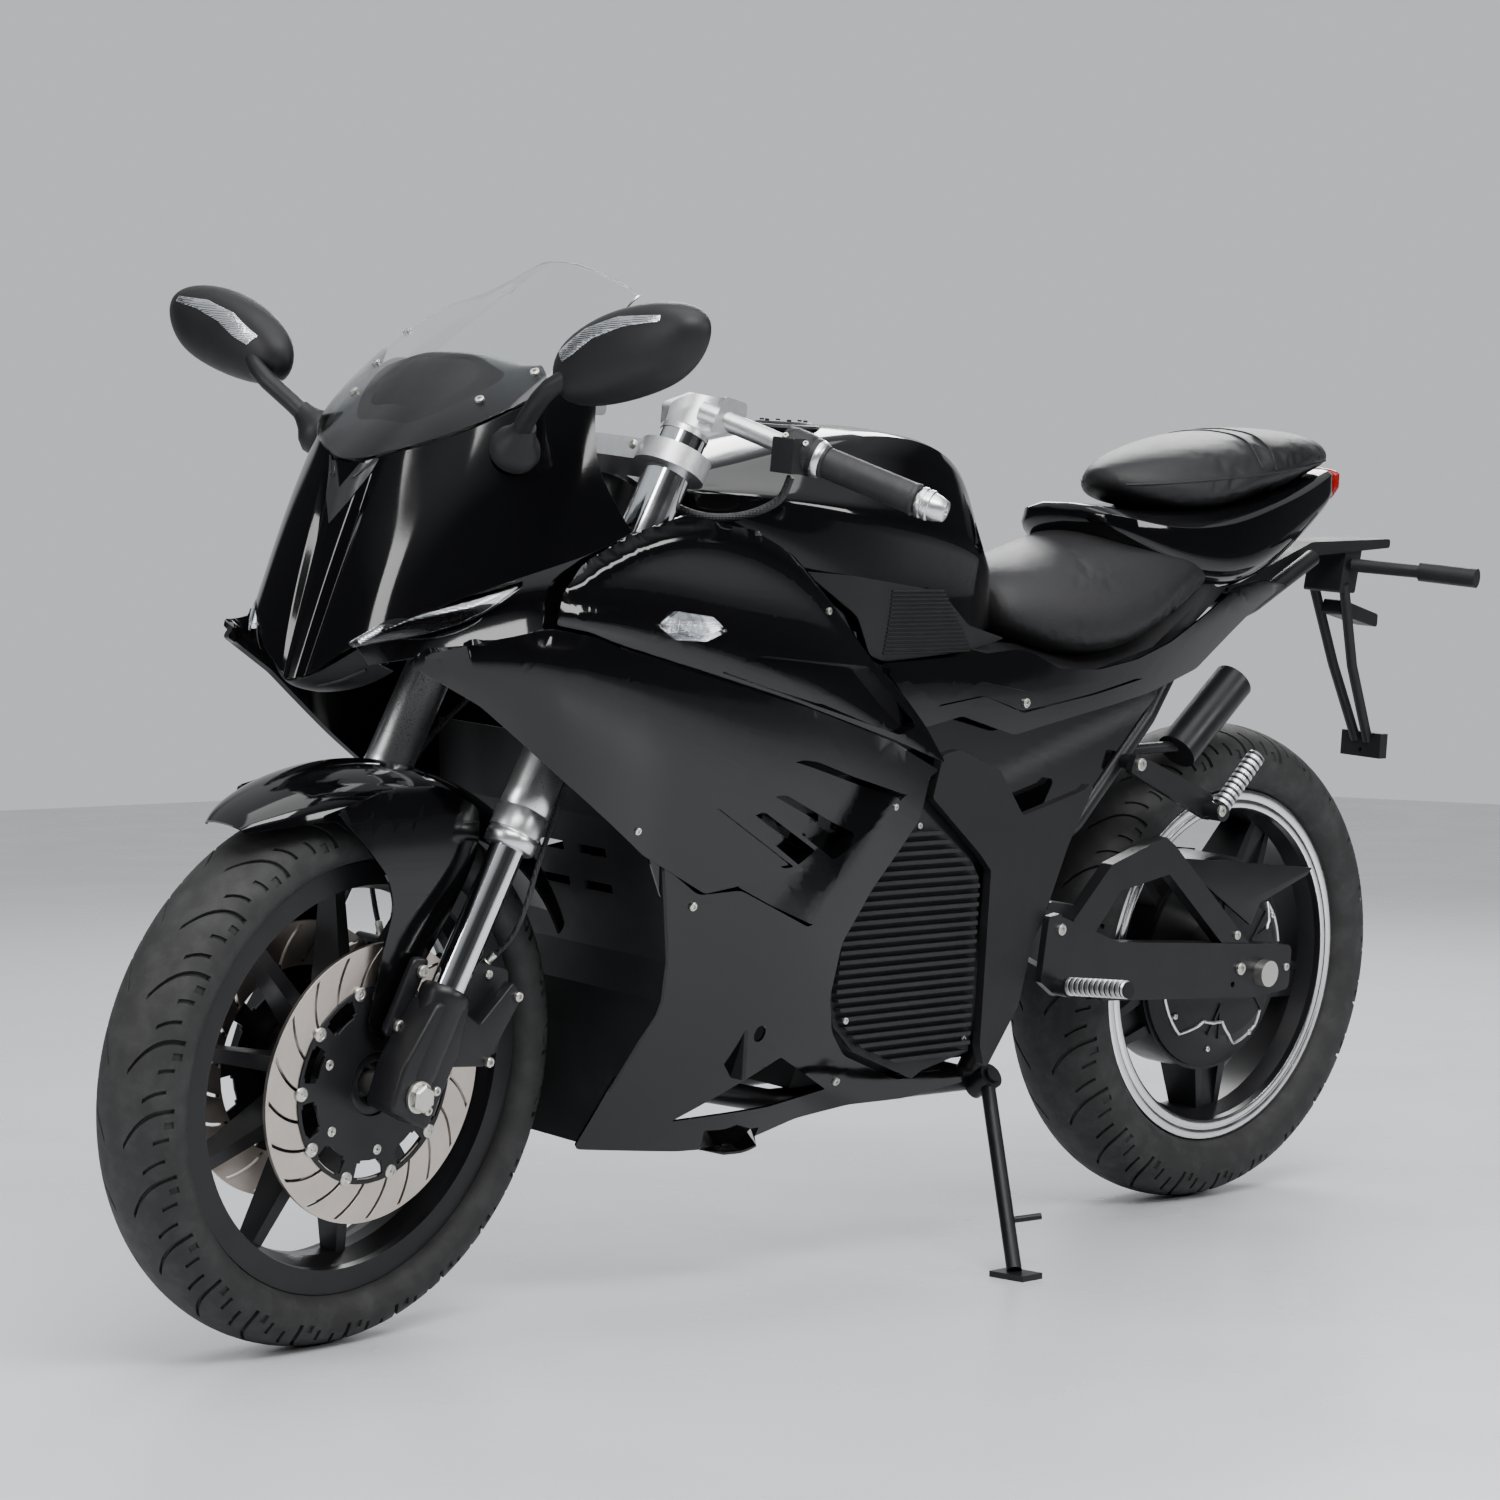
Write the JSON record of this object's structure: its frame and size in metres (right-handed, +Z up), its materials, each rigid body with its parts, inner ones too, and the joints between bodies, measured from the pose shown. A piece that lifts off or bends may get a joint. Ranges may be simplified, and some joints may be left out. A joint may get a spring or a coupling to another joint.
{
  "type": "electric sport motorcycle",
  "caption": "Fully faired electric sport motorcycle leaning on its side stand, with hub motor rear wheel, clip-on bars, clear screen and split seats.",
  "frame": {"origin": "on the floor under the middle of the parked machine's box", "axes": "+X forward, +Y to the rider's left, +Z up from the floor"},
  "size_m": [2.0614, 0.8706, 1.1485],
  "materials": {
    "gloss_black": "gloss",
    "satin_black": "satin",
    "frame_black": "satin",
    "chrome": "polished",
    "bright_alloy": "machined",
    "axle_steel": "zinc plated",
    "disc_steel": "ground",
    "tyre": "matt",
    "grip_rubber": "matt",
    "seat_cover": "grained",
    "clear_screen": "clear",
    "clear_lens": "clear",
    "dark_lens": "gloss",
    "mirror_glass": "mirror"
  },
  "bodies": {
    "chassis": {"frame": "frame_black", "seat_frame": "frame_black", "battery_case": "frame_black", "battery_covers": "satin_black", "frame_covers": "satin_black", "side_fairings": "gloss_black", "upper_panels": "gloss_black", "lower_fairings": "satin_black", "vent_scoops": "gloss_black", "inner_panel": "satin_black", "nose_cowl": "gloss_black", "nose_grille": "satin_black", "windscreen": "clear_screen", "instrument_hood": "satin_black", "headlights": "clear_lens", "front_indicators": "clear_lens", "mirrors": "satin_black", "mirror_glasses": "mirror_glass", "tank_cover": "gloss_black", "knee_panels": "satin_black", "seat_panels": "gloss_black", "rider_seat": "seat_cover", "passenger_seat": "seat_cover", "tail_fairing": "gloss_black", "tail_lamp": "dark_lens", "tail_tidy": "satin_black", "rear_indicators": "dark_lens", "swingarm": "frame_black", "rear_shock": "frame_black", "rear_axle": "axle_steel", "rear_caliper": "frame_black", "rider_pegs": "bright_alloy", "passenger_pegs": "bright_alloy", "brake_pedal": "frame_black"},
    "steering": {"fork_upper_tubes": "chrome", "fork_clamps": "bright_alloy", "fork_legs": "frame_black", "handlebars": "bright_alloy", "grips": "grip_rubber", "bar_controls": "satin_black", "front_fender": "gloss_black", "front_calipers": "frame_black", "front_axle": "axle_steel"},
    "front_wheel": {"front_tyre": "tyre", "front_rim": "frame_black", "front_discs": "disc_steel"},
    "rear_wheel": {"rear_tyre": "tyre", "rear_rim": "frame_black", "hub_motor": "frame_black", "rear_disc": "disc_steel"},
    "side_stand": {"side_stand": "frame_black"},
    "charge_cap": {"charge_cap": "gloss_black"}
  },
  "joints": [
    {"name": "steering_turn", "type": "hinge", "parent": "chassis", "child": "steering", "pos_m": [0.69447, -0.06599, 0.29134], "axis": [-0.4457, 0.0749, 0.892], "range_deg": [-31, 19]},
    {"name": "front_wheel_spin", "type": "hinge", "parent": "steering", "child": "front_wheel", "pos_m": [0.73897, -0.06183, 0.29086], "axis": [-0.0936, 0.9871, -0.1296], "continuous": true},
    {"name": "rear_wheel_spin", "type": "hinge", "parent": "chassis", "child": "rear_wheel", "pos_m": [-0.68083, -0.06423, 0.31303], "axis": [0, 0.9965, -0.0837], "continuous": true},
    {"name": "stand_fold", "type": "hinge", "parent": "chassis", "child": "side_stand", "pos_m": [-0.16688, 0.03952, 0.2098], "axis": [-0.0079, 0.8403, 0.5421], "range_deg": [0, 102]},
    {"name": "charge_cap_open", "type": "hinge", "parent": "chassis", "child": "charge_cap", "pos_m": [0.09354, -0.00866, 0.97435], "axis": [0, -0.9965, 0.0837], "range_deg": [0, 95]}
  ]
}
